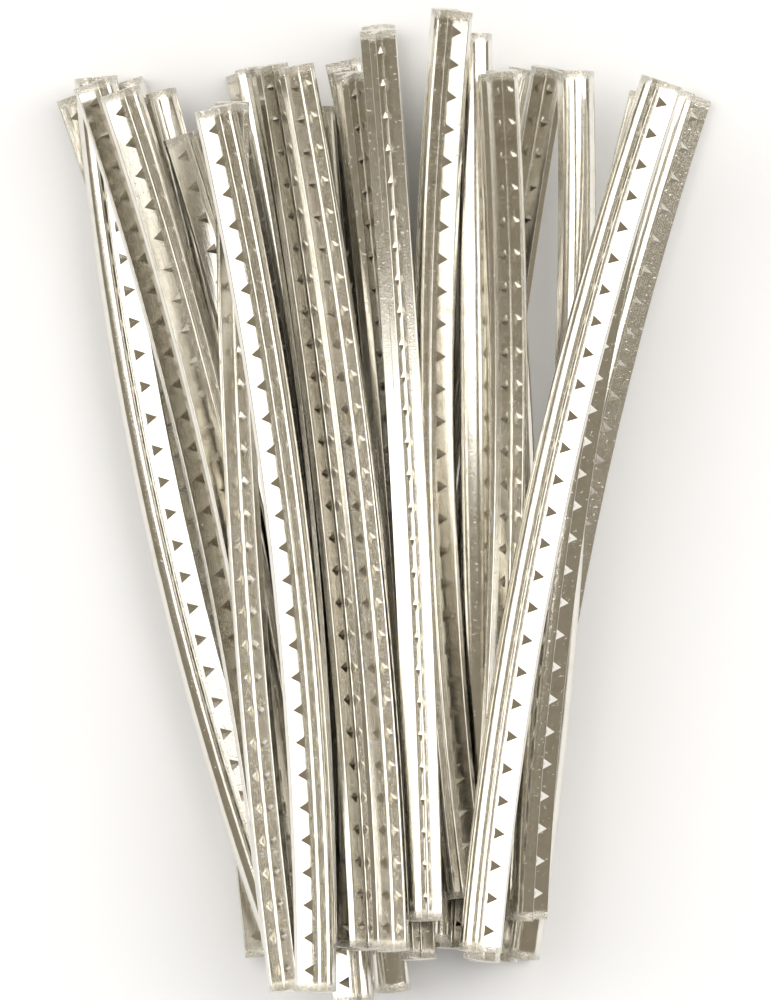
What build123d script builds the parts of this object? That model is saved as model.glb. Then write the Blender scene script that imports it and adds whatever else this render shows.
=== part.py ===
from build123d import *
import math
import os

# A loose, fanned pile of pre-cut guitar fret wires lying on a flat surface.
# Every wire is one piece of drawn nickel silver: a domed crown, a thin tang under it and two rows
# of barbs pressed out of the tang. +Z is up, the open end of the fan points to +Y, +X is right.

# ---- driving dimensions, mm -------------------------------------------------------------------
CUT_LENGTH = 65.0
SHORT_LENGTH = 61.0
BEND_RADIUS = 254.0         # the wire comes curved along its length, crown on the outside

CROWN_WIDTH = 2.65
CROWN_HEIGHT = 1.3
CROWN_FLANK = 0.2           # upright side of the crown below the dome
CROWN_CORNER = 0.07
TANG_DEPTH = 1.85
TANG_THICKNESS = 0.5
TANG_ROOT = 0.12            # fillet between tang and crown
TANG_EDGE = 0.06

BARB_PITCH = 2.38
BARB_END_GAP = 1.4          # least distance from a cut end to the middle of a barb
BARB_LENGTH = 0.9           # along the wire
BARB_TOP = 0.5              # start of the barb below the crown
BARB_SUMMIT = 0.62          # highest point of the barb below the crown
BARB_TIP = 1.35             # point of the barb below the crown
BARB_RISE = 0.19            # how far a barb stands off the tang
BARB_SINK = 0.06            # part of the barb buried in the tang, for a sound joint

CLEARANCE = 0.04            # gap left between a wire and whatever it rests on
ROW_STEP = 0.5              # spacing of the sections compared while the pile is laid
COLUMN_STEP = 0.05
ROW_PASSES = 4              # repeats that bring a section onto its row
DOME_STEPS = 12

# ---- where the wires lie ----------------------------------------------------------------------
# In the order they are laid: name, x and y of the open (top) end, x and y of the gathered (foot)
# end, both measured at the root of the tang, and the roll of the wire about its own length.
# Roll 0 has the crown up, 90 the crown to the right, 180 the tang up, -90 the crown to the left.
LAYING_ORDER = (
    ("fret_wire_01", -22.3, 29.5, -8.5, -33.1, 95),
    ("fret_wire_15", -3.7, 28.8, -0.8, -35.7, 83),
    ("fret_wire_05", -19.1, 30.9, -4.1, -32.7, 61),
    ("fret_wire_10", -10.2, 31.5, -2.7, -32.7, 50),
    ("fret_wire_29", 22.2, 29.5, 9.2, -33.3, -67),
    ("fret_wire_06", -16.6, 29.7, -5.1, -33.8, 43),
    ("fret_wire_24", 10.4, 31.6, 3.0, -33.0, -71),
    ("fret_wire_25", 12.1, 31.7, 5.1, -32.9, -145),
    ("fret_wire_19", -0.6, 34.5, 1.8, -29.8, 30),
    ("fret_wire_22", 7.1, 30.8, 8.4, -33.5, 103),
    ("fret_wire_21", 6.5, 33.8, 7.2, -30.8, -1),
    ("fret_wire_14", -5.0, 28.7, 0.6, -35.9, -4),
    ("fret_wire_07", -14.4, 26.3, -2.2, -36.3, 109),
    ("fret_wire_16", -2.6, 32.5, 3.5, -32.6, 89),
    ("fret_wire_17", -2.5, 31.3, 2.4, -33.6, 164),
    ("fret_wire_11", -8.8, 31.9, -2.3, -33.0, 133),
    ("fret_wire_26", 13.9, 30.7, 10.0, -32.9, 40),
    ("fret_wire_03", -21.5, 31.1, -7.5, -32.5, -101),
    ("fret_wire_02", -21.2, 30.8, -7.2, -32.9, 119),
    ("fret_wire_04", -19.3, 30.3, -5.5, -33.8, 121),
    ("fret_wire_27", 19.1, 29.2, 10.2, -30.3, -59),
    ("fret_wire_09", -11.0, 28.7, -7.1, -35.5, -150),
    ("fret_wire_20", 4.7, 36.0, 5.8, -29.2, -120),
    ("fret_wire_23", 8.3, 31.0, 7.0, -33.3, 141),
    ("fret_wire_28", 19.9, 30.4, 6.7, -32.7, -110),
    ("fret_wire_12", -8.5, 32.0, -1.4, -33.1, 151),
    ("fret_wire_18", -0.6, 34.7, 2.9, -31.1, 167),
    ("fret_wire_08", -12.2, 28.4, -4.9, -35.6, 122),
    ("fret_wire_13", -6.6, 32.1, 0.5, -33.3, 144),
)
SHORT_WIRES = ("fret_wire_27",)


def wire_profile():
    """Section of the wire: X across the crown, Z up through the dome, tang root at the origin."""
    half_width = CROWN_WIDTH / 2
    dome = Pos(0, CROWN_FLANK) * Ellipse(half_width, CROWN_HEIGHT - CROWN_FLANK)
    dome &= Pos(0, CROWN_FLANK + CROWN_HEIGHT) * Rectangle(2 * CROWN_WIDTH, 2 * CROWN_HEIGHT)
    flank = Pos(0, CROWN_FLANK / 2) * Rectangle(CROWN_WIDTH, CROWN_FLANK)
    tang = Pos(0, -TANG_DEPTH / 2) * Rectangle(TANG_THICKNESS, TANG_DEPTH)
    profile = dome + flank + tang
    for height, reach, radius in (
        (0, half_width, CROWN_CORNER),
        (0, TANG_THICKNESS / 2, TANG_ROOT),
        (-TANG_DEPTH, TANG_THICKNESS / 2, TANG_EDGE),
    ):
        corners = [
            corner
            for corner in profile.vertices()
            if abs(corner.Y - height) < 0.001 and abs(abs(corner.X) - reach) < 0.001
        ]
        profile = fillet(corners, radius)
    return Plane.XZ * profile


def barb(side):
    """Three-sided barb on one face of the tang, its point toward the free edge of the tang."""
    summit = Vector(side * (TANG_THICKNESS / 2 + BARB_RISE), 0, -BARB_SUMMIT)
    face = side * TANG_THICKNESS / 2
    outline = (
        Vector(face, -BARB_LENGTH / 2, -BARB_TOP),
        Vector(face, BARB_LENGTH / 2, -BARB_TOP),
        Vector(face, 0, -BARB_TIP),
    )
    depth_share = (BARB_RISE + BARB_SINK) / BARB_RISE
    left, right, tip = [summit + (corner - summit) * depth_share for corner in outline]
    faces = [
        Face(Wire.make_polygon(corners, close=True))
        for corners in ((left, right, tip), (left, tip, summit), (tip, right, summit), (right, left, summit))
    ]
    return Solid(Shell(faces))


def fret_wire(length):
    """One curved wire with its barbs, its middle at the origin and its length along Y."""
    bend_axis = Axis((0, 0, -BEND_RADIUS), (1, 0, 0))
    sweep = math.degrees(length / BEND_RADIUS)
    blank = revolve(wire_profile(), axis=bend_axis, revolution_arc=sweep)
    blank = blank.rotate(bend_axis, -sweep / 2)
    barb_count = int((length - 2 * BARB_END_GAP) / BARB_PITCH) + 1
    barb_turn = math.degrees(BARB_PITCH / BEND_RADIUS)
    barbs = []
    for index in range(barb_count):
        turn = (index - (barb_count - 1) / 2) * barb_turn
        for side in (-1, 1):
            barbs.append(barb(side).rotate(bend_axis, turn))
    return blank.fuse(*barbs)


def swept_outline():
    """Corner points of the section with the barbs as one unbroken ridge, grown by the clearance."""
    half_width = CROWN_WIDTH / 2 + CLEARANCE
    half_tang = TANG_THICKNESS / 2 + CLEARANCE
    half_barb = half_tang + BARB_RISE
    right_side = [
        (half_tang, -TANG_DEPTH - CLEARANCE),
        (half_tang, -BARB_TIP),
        (half_barb, -BARB_SUMMIT),
        (half_barb, -CLEARANCE),
        (half_width, -CLEARANCE),
    ]
    dome_height = CROWN_HEIGHT - CROWN_FLANK + CLEARANCE
    for step in range(DOME_STEPS + 1):
        angle = math.radians(90 * step / DOME_STEPS)
        right_side.append((half_width * math.cos(angle), CROWN_FLANK + dome_height * math.sin(angle)))
    left_side = [(-across, up) for across, up in reversed(right_side[:-1])]
    return right_side + left_side


def lay_axes(heading, roll, pitch=0.0):
    """Directions of a lying wire: along its length, across to the right, and out of its crown."""
    along = Vector(
        math.sin(heading) * math.cos(pitch), math.cos(heading) * math.cos(pitch), math.sin(pitch)
    )
    right = Vector(math.cos(heading), -math.sin(heading), 0)
    upward = right.cross(along)
    crown = upward * math.cos(roll) + right * math.sin(roll)
    return along, right, crown


def wire_sections(middle_x, middle_y, heading, roll, length):
    """Sections of a wire on the shared rows: row, distance along the wire, {column: (low, high)}."""
    outline = swept_outline()
    rolled = [
        (
            across * math.cos(roll) + up * math.sin(roll),
            -across * math.sin(roll) + up * math.cos(roll),
        )
        for across, up in outline
    ]
    half_turn = (length / 2 + CLEARANCE) / BEND_RADIUS
    sections = []
    reach = length / 2 + 1
    first_row = math.floor((middle_y - reach) / ROW_STEP)
    last_row = math.ceil((middle_y + reach) / ROW_STEP)
    for row in range(first_row, last_row + 1):
        turn = 0.0
        for _ in range(ROW_PASSES):
            bow = BEND_RADIUS * (1 - math.cos(turn))
            y = middle_y + BEND_RADIUS * math.sin(turn) * math.cos(heading)
            y += bow * math.sin(roll) * math.sin(heading)
            turn += (row * ROW_STEP - y) / (BEND_RADIUS * math.cos(heading))
        if abs(turn) > half_turn:
            continue
        bow = BEND_RADIUS * (1 - math.cos(turn))
        along = BEND_RADIUS * math.sin(turn)
        centre = middle_x + along * math.sin(heading) - bow * math.sin(roll) * math.cos(heading)
        height = -bow * math.cos(roll)
        local_heading = heading - turn * math.sin(roll)
        stretch = 1 / math.cos(local_heading)
        columns = {}
        for (right_a, up_a), (right_b, up_b) in zip(rolled, rolled[1:] + rolled[:1]):
            x_a = centre + right_a * stretch
            x_b = centre + right_b * stretch
            if x_a > x_b:
                x_a, x_b, up_a, up_b = x_b, x_a, up_b, up_a
            for column in range(math.floor(x_a / COLUMN_STEP), math.ceil(x_b / COLUMN_STEP) + 1):
                share = 0.5 if x_b - x_a < 1e-9 else (column * COLUMN_STEP - x_a) / (x_b - x_a)
                level = height + up_a + (up_b - up_a) * min(max(share, 0.0), 1.0)
                low, high = columns.get(column, (level, level))
                columns[column] = (min(low, level), max(high, level))
        sections.append((row, along, columns))
    return sections


def settle(sections, pile):
    """Height and slope at which a wire comes to rest on the pile, touching on both sides of its middle."""
    needed = []
    for row, along, columns in sections:
        gap = max(pile.get((row, column), 0.0) - low for column, (low, _) in columns.items())
        needed.append((along, gap))
    height = -math.inf
    slope = 0.0
    for along_a, gap_a in needed:
        for along_b, gap_b in needed:
            if along_a < 0 < along_b:
                trial_slope = (gap_b - gap_a) / (along_b - along_a)
                trial_height = gap_a - along_a * trial_slope
                if trial_height > height:
                    height = trial_height
                    slope = trial_slope
    return height, slope


def lay_pile():
    """Lower the wires one after another, each onto the table or onto the wires already lying."""
    pile = {}
    places = {}
    for name, top_x, top_y, foot_x, foot_y, roll_degrees in LAYING_ORDER:
        length = SHORT_LENGTH if name in SHORT_WIRES else CUT_LENGTH
        roll = math.radians(roll_degrees)
        heading = math.atan2(top_x - foot_x, top_y - foot_y)
        bow = BEND_RADIUS * (1 - math.cos(length / 2 / BEND_RADIUS)) * math.sin(roll)
        middle_x = (top_x + foot_x) / 2 + bow * math.cos(heading)
        middle_y = (top_y + foot_y) / 2 - bow * math.sin(heading)
        sections = wire_sections(middle_x, middle_y, heading, roll, length)
        height, slope = settle(sections, pile)
        for row, along, columns in sections:
            for column, (_, high) in columns.items():
                level = high + height + along * slope
                pile[(row, column)] = max(pile.get((row, column), 0.0), level)
        along_axis, _, crown_axis = lay_axes(heading, roll, math.atan(slope))
        places[name] = Plane(
            origin=(middle_x, middle_y, height),
            x_dir=along_axis.cross(crown_axis),
            z_dir=crown_axis,
        )
    return places


os.makedirs("parts", exist_ok=True)
full_wire = fret_wire(CUT_LENGTH)
short_wire = fret_wire(SHORT_LENGTH)
wires = {}
for wire_name, place in lay_pile().items():
    wire = short_wire if wire_name in SHORT_WIRES else full_wire
    wires[wire_name] = wire.moved(place.location)

# The origin is set in the middle of the outline, on the surface the pile lies on.
outline_box = Compound(list(wires.values())).bounding_box()
to_origin = Pos(-outline_box.center().X, -outline_box.center().Y, -outline_box.min.Z)
for wire_name, wire in wires.items():
    export_step(to_origin * wire, f"parts/{wire_name}.step")
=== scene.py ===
import math

import bpy
import numpy as np
from mathutils import Matrix, Vector

# Loose nickel silver fret wires, fanned on a white table and seen from straight above.

MM = 0.001

# ---- the wire, as the CAD has it ----------------------------------------------------------------
BEND_RADIUS = 254.0 * MM
CROWN_HEIGHT = 1.3 * MM

# ---- camera -------------------------------------------------------------------------------------
CAMERA_HEIGHT = 1.6
VIEW_HEIGHT = 73.1 * MM         # length of table that fills the picture from top to bottom
VIEW_LEVEL = 8.0 * MM           # height above the table at which VIEW_HEIGHT holds
VIEW_MIDDLE = (0.12 * MM, 0.49 * MM)
SENSOR = 36.0
FARTHEST_SEEN = 20.0

# ---- light --------------------------------------------------------------------------------------
PANEL_HEIGHT = 1.0
PANEL_NEAR = -0.08              # edges of both panels along Y
PANEL_FAR = 0.7
OVERHEAD_GAP = 0.14             # half width of the dark gap between the panels, over the pile
LEFT_PANEL_REACH = 1.9
RIGHT_PANEL_REACH = 2.4
PANEL_RADIANCE = 2.4
FILL_LIGHT = 0.6
ROOM_COLOR = (0.27, 0.235, 0.175, 1.0)
LIGHT_COLOR = (1.0, 0.985, 0.96)
WHITE = (1.0, 1.0, 1.0, 1.0)

# ---- table --------------------------------------------------------------------------------------
TABLE_RADIUS = 0.5
TABLE_SIDES = 96
TABLE_DROP = 0.02 * MM          # keeps the table top just clear of the wires that lie on it
TABLE_COLOR = (0.93, 0.92, 0.905, 1.0)
TABLE_ROUGHNESS = 0.8

# ---- metal --------------------------------------------------------------------------------------
BRIGHT_METAL = (0.82, 0.80, 0.745, 1.0)
DULL_METAL = (0.66, 0.62, 0.53, 1.0)
SMOOTH = 0.08
SCUFFED = 0.42
END_SCUFF = 0.9 * MM            # length of each cut end that the cutters marked
DRAW_STRETCH = 0.035            # scale of the draw lines along the wire, against that across it
WEAR_STEP = 97.0                # millimetres between one wire's wear and the next wire's
RELIEF = 0.006 * MM             # depth of the draw lines and pits


def wire_place(wire):
    """Place and half length of a wire: X across, Y along, Z out of the crown, tang root mid-length."""
    points = np.array([vertex.co for vertex in wire.data.vertices])
    centre = points.mean(axis=0)
    along = np.linalg.svd(points - centre, full_matrices=False)[2][0]
    along *= math.copysign(1.0, along[1])
    reach = (points - centre) @ along
    half_length = (reach.max() - reach.min()) / 2
    middle_part = points[abs(reach) < half_length / 3].mean(axis=0)
    end_parts = points[abs(reach) > half_length * 2 / 3].mean(axis=0)
    crown = middle_part - end_parts
    crown -= along * (crown @ along)
    crown /= np.linalg.norm(crown)
    across = np.cross(along, crown)
    sideways = (points - centre) @ across
    upward = (points - centre) @ crown
    origin = (
        centre
        + along * (reach.max() + reach.min()) / 2
        + across * (sideways.max() + sideways.min()) / 2
        + crown * (upward.max() - CROWN_HEIGHT)
    )
    place = Matrix((across, along, crown)).transposed()
    return Vector(origin), place.to_euler(), half_length


class Nodes:
    """Short way to add shader nodes to a tree and join them."""

    def __init__(self, tree):
        self.tree = tree

    def add(self, kind, inputs=None, **settings):
        node = self.tree.nodes.new(kind)
        for name, value in settings.items():
            setattr(node, name, value)
        for key, value in (inputs or {}).items():
            if isinstance(value, bpy.types.NodeSocket):
                self.tree.links.new(value, node.inputs[key])
            else:
                node.inputs[key].default_value = value
        return node

    def math(self, operation, first, second=0.0, clamp=False):
        node = self.add("ShaderNodeMath", {0: first, 1: second}, operation=operation, use_clamp=clamp)
        return node.outputs[0]

    def spread(self, value, low, high, to_low=0.0, to_high=1.0):
        inputs = {"Value": value, "From Min": low, "From Max": high, "To Min": to_low, "To Max": to_high}
        return self.add("ShaderNodeMapRange", inputs, interpolation_type="SMOOTHSTEP").outputs[0]

    def noise(self, vector, scale, detail=3.0, roughness=0.55):
        inputs = {"Vector": vector, "Scale": scale, "Detail": detail, "Roughness": roughness}
        return self.add("ShaderNodeTexNoise", inputs).outputs["Fac"]


def metal_group():
    """Nickel silver of a drawn wire: draw lines, pits, dull patches and ends marked by the cutters."""
    group = bpy.data.node_groups.new("drawn_nickel_silver", "ShaderNodeTree")
    for name, kind in (
        ("Place", "NodeSocketVector"),
        ("Half Length", "NodeSocketFloat"),
        ("Seed", "NodeSocketFloat"),
    ):
        group.interface.new_socket(name, in_out="INPUT", socket_type=kind)
    for name, kind in (
        ("Color", "NodeSocketColor"),
        ("Roughness", "NodeSocketFloat"),
        ("Normal", "NodeSocketVector"),
    ):
        group.interface.new_socket(name, in_out="OUTPUT", socket_type=kind)
    nodes = Nodes(group)
    given = nodes.add("NodeGroupInput").outputs
    place = nodes.add("ShaderNodeSeparateXYZ", {0: given["Place"]}).outputs

    # position straightened along the bend, in millimetres: across, along, up
    from_axis = nodes.math("ADD", place["Z"], BEND_RADIUS)
    squared = nodes.math("ADD", nodes.math("POWER", place["Y"], 2.0), nodes.math("POWER", from_axis, 2.0))
    up = nodes.math("SUBTRACT", nodes.math("SQRT", squared), BEND_RADIUS)
    along = nodes.math("MULTIPLY", nodes.math("ARCTAN2", place["Y"], from_axis), BEND_RADIUS)
    across_mm = nodes.math("DIVIDE", place["X"], MM)
    along_mm = nodes.math("DIVIDE", along, MM)
    up_mm = nodes.math("DIVIDE", up, MM)
    seeded_mm = nodes.math("ADD", along_mm, given["Seed"])
    even = nodes.add("ShaderNodeCombineXYZ", {0: across_mm, 1: seeded_mm, 2: up_mm}).outputs[0]
    drawn_along = nodes.math("MULTIPLY", seeded_mm, DRAW_STRETCH)
    drawn = nodes.add("ShaderNodeCombineXYZ", {0: across_mm, 1: drawn_along, 2: up_mm}).outputs[0]

    draw_lines = nodes.noise(drawn, 9.0, detail=4.0, roughness=0.6)
    fine_lines = nodes.noise(drawn, 30.0, detail=2.0)
    patches = nodes.noise(even, 0.55, detail=4.0, roughness=0.6)
    grain = nodes.noise(even, 6.0, detail=4.0, roughness=0.65)
    pits = nodes.spread(nodes.noise(even, 3.2, detail=2.0), 0.64, 0.72)

    from_end = nodes.math("SUBTRACT", given["Half Length"], nodes.math("ABSOLUTE", along))
    cut = nodes.spread(from_end, 0.15 * END_SCUFF, END_SCUFF, 1.0, 0.0)
    scuffed = nodes.math("MULTIPLY", cut, nodes.spread(grain, 0.35, 0.6))

    dull = nodes.math("MULTIPLY", nodes.spread(patches, 0.45, 0.75), 0.5)
    dull = nodes.math("ADD", dull, nodes.math("MULTIPLY", nodes.spread(draw_lines, 0.5, 0.8), 0.25))
    dull = nodes.math("ADD", dull, nodes.math("MULTIPLY", pits, 0.3), clamp=True)
    color = nodes.add(
        "ShaderNodeMix",
        {"Factor": dull, "A": BRIGHT_METAL, "B": DULL_METAL},
        data_type="RGBA",
    ).outputs["Result"]

    roughness = nodes.spread(grain, 0.3, 0.75, SMOOTH, SMOOTH + 0.07)
    roughness = nodes.math("ADD", roughness, nodes.math("MULTIPLY", fine_lines, 0.05))
    roughness = nodes.math("ADD", roughness, nodes.math("MULTIPLY", pits, 0.12))
    roughness = nodes.math("ADD", roughness, nodes.math("MULTIPLY", scuffed, SCUFFED - SMOOTH))

    height = nodes.math("MULTIPLY", draw_lines, 0.9)
    height = nodes.math("ADD", height, nodes.math("MULTIPLY", fine_lines, 0.25))
    height = nodes.math("ADD", height, nodes.math("MULTIPLY", grain, 0.35))
    height = nodes.math("SUBTRACT", height, nodes.math("MULTIPLY", pits, 0.5))
    height = nodes.math("ADD", height, nodes.math("MULTIPLY", scuffed, 4.0))
    bump = nodes.add("ShaderNodeBump", {"Strength": 1.0, "Distance": RELIEF, "Height": height})
    nodes.add(
        "NodeGroupOutput",
        {"Color": color, "Roughness": roughness, "Normal": bump.outputs["Normal"]},
    )
    return group


def wire_metal(wire, number, group):
    """The wire's own material: the shared metal laid along this wire, with its own wear."""
    origin, turn, half_length = wire_place(wire)
    material = bpy.data.materials.new(f"metal_of_{wire.name}")
    material.use_nodes = True
    nodes = Nodes(material.node_tree)
    shader = material.node_tree.nodes["Principled BSDF"]
    position = nodes.add("ShaderNodeTexCoord").outputs["Object"]
    placed = nodes.add(
        "ShaderNodeMapping",
        {"Vector": position, "Location": origin, "Rotation": turn},
        vector_type="TEXTURE",
    ).outputs[0]
    metal = nodes.add("ShaderNodeGroup", node_tree=group)
    material.node_tree.links.new(placed, metal.inputs["Place"])
    metal.inputs["Half Length"].default_value = half_length
    metal.inputs["Seed"].default_value = WEAR_STEP * number
    for output, socket in (("Color", "Base Color"), ("Roughness", "Roughness"), ("Normal", "Normal")):
        material.node_tree.links.new(metal.outputs[output], shader.inputs[socket])
    shader.inputs["Metallic"].default_value = 1.0
    wire.data.materials.clear()
    wire.data.materials.append(material)


def table():
    """White table top under the pile."""
    turns = [2 * math.pi * step / TABLE_SIDES for step in range(TABLE_SIDES)]
    rim = [(TABLE_RADIUS * math.cos(turn), TABLE_RADIUS * math.sin(turn), 0) for turn in turns]
    mesh = bpy.data.meshes.new("table_top")
    mesh.from_pydata(rim, [], [range(TABLE_SIDES)])
    top = bpy.data.objects.new("table_top", mesh)
    top.location.z = -TABLE_DROP
    bpy.context.scene.collection.objects.link(top)
    white = bpy.data.materials.new("white_table")
    white.use_nodes = True
    shader = white.node_tree.nodes["Principled BSDF"]
    shader.inputs["Base Color"].default_value = TABLE_COLOR
    shader.inputs["Roughness"].default_value = TABLE_ROUGHNESS
    mesh.materials.append(white)


def panel(name, left, right):
    """Horizontal light panel over the pile, given by its left and right edges."""
    light = bpy.data.lights.new(name, "AREA")
    light.shape = "RECTANGLE"
    light.size = right - left
    light.size_y = PANEL_FAR - PANEL_NEAR
    light.energy = PANEL_RADIANCE * math.pi * light.size * light.size_y
    light.color = LIGHT_COLOR
    lamp = bpy.data.objects.new(name, light)
    lamp.location = ((left + right) / 2, (PANEL_NEAR + PANEL_FAR) / 2, PANEL_HEIGHT)
    lamp.visible_camera = False
    bpy.context.scene.collection.objects.link(lamp)


def room():
    """Dim warm room in the metal's reflections; white behind the table and soft white light on it."""
    world = bpy.data.worlds.new("studio")
    world.use_nodes = True
    nodes = Nodes(world.node_tree)
    output = world.node_tree.nodes["World Output"]
    dim = world.node_tree.nodes["Background"]
    dim.inputs["Color"].default_value = ROOM_COLOR
    ray = nodes.add("ShaderNodeLightPath").outputs
    fill = nodes.add("ShaderNodeBackground", {"Color": WHITE, "Strength": FILL_LIGHT})
    backdrop = nodes.add("ShaderNodeBackground", {"Color": WHITE})
    shade = dim.outputs[0]
    for kind, background in (("Is Diffuse Ray", fill), ("Is Camera Ray", backdrop)):
        mix = nodes.add("ShaderNodeMixShader", {0: ray[kind], 1: shade, 2: background.outputs[0]})
        shade = mix.outputs[0]
    world.node_tree.links.new(shade, output.inputs["Surface"])
    bpy.context.scene.world = world


def camera():
    """Long lens looking straight down, the fan opening toward the top of the picture."""
    lens = bpy.data.cameras.new("camera")
    lens.sensor_width = SENSOR
    lens.lens = SENSOR * (CAMERA_HEIGHT - VIEW_LEVEL) / VIEW_HEIGHT
    lens.clip_end = FARTHEST_SEEN
    eye = bpy.data.objects.new("camera", lens)
    eye.location = (*VIEW_MIDDLE, CAMERA_HEIGHT)
    bpy.context.scene.collection.objects.link(eye)
    bpy.context.scene.camera = eye


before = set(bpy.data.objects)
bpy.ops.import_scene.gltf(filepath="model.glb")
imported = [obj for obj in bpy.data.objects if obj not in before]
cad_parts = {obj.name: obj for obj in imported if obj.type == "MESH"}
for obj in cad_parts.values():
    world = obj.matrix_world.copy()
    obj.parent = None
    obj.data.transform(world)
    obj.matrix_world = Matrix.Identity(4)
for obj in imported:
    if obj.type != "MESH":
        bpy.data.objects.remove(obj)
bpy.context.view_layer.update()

bpy.context.scene.view_settings.view_transform = "Standard"
camera()
room()
table()
panel("left_panel", -LEFT_PANEL_REACH, -OVERHEAD_GAP)
panel("right_panel", OVERHEAD_GAP, RIGHT_PANEL_REACH)

metal = metal_group()
for number, name in enumerate(sorted(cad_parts)):
    wire_metal(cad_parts[name], number, metal)
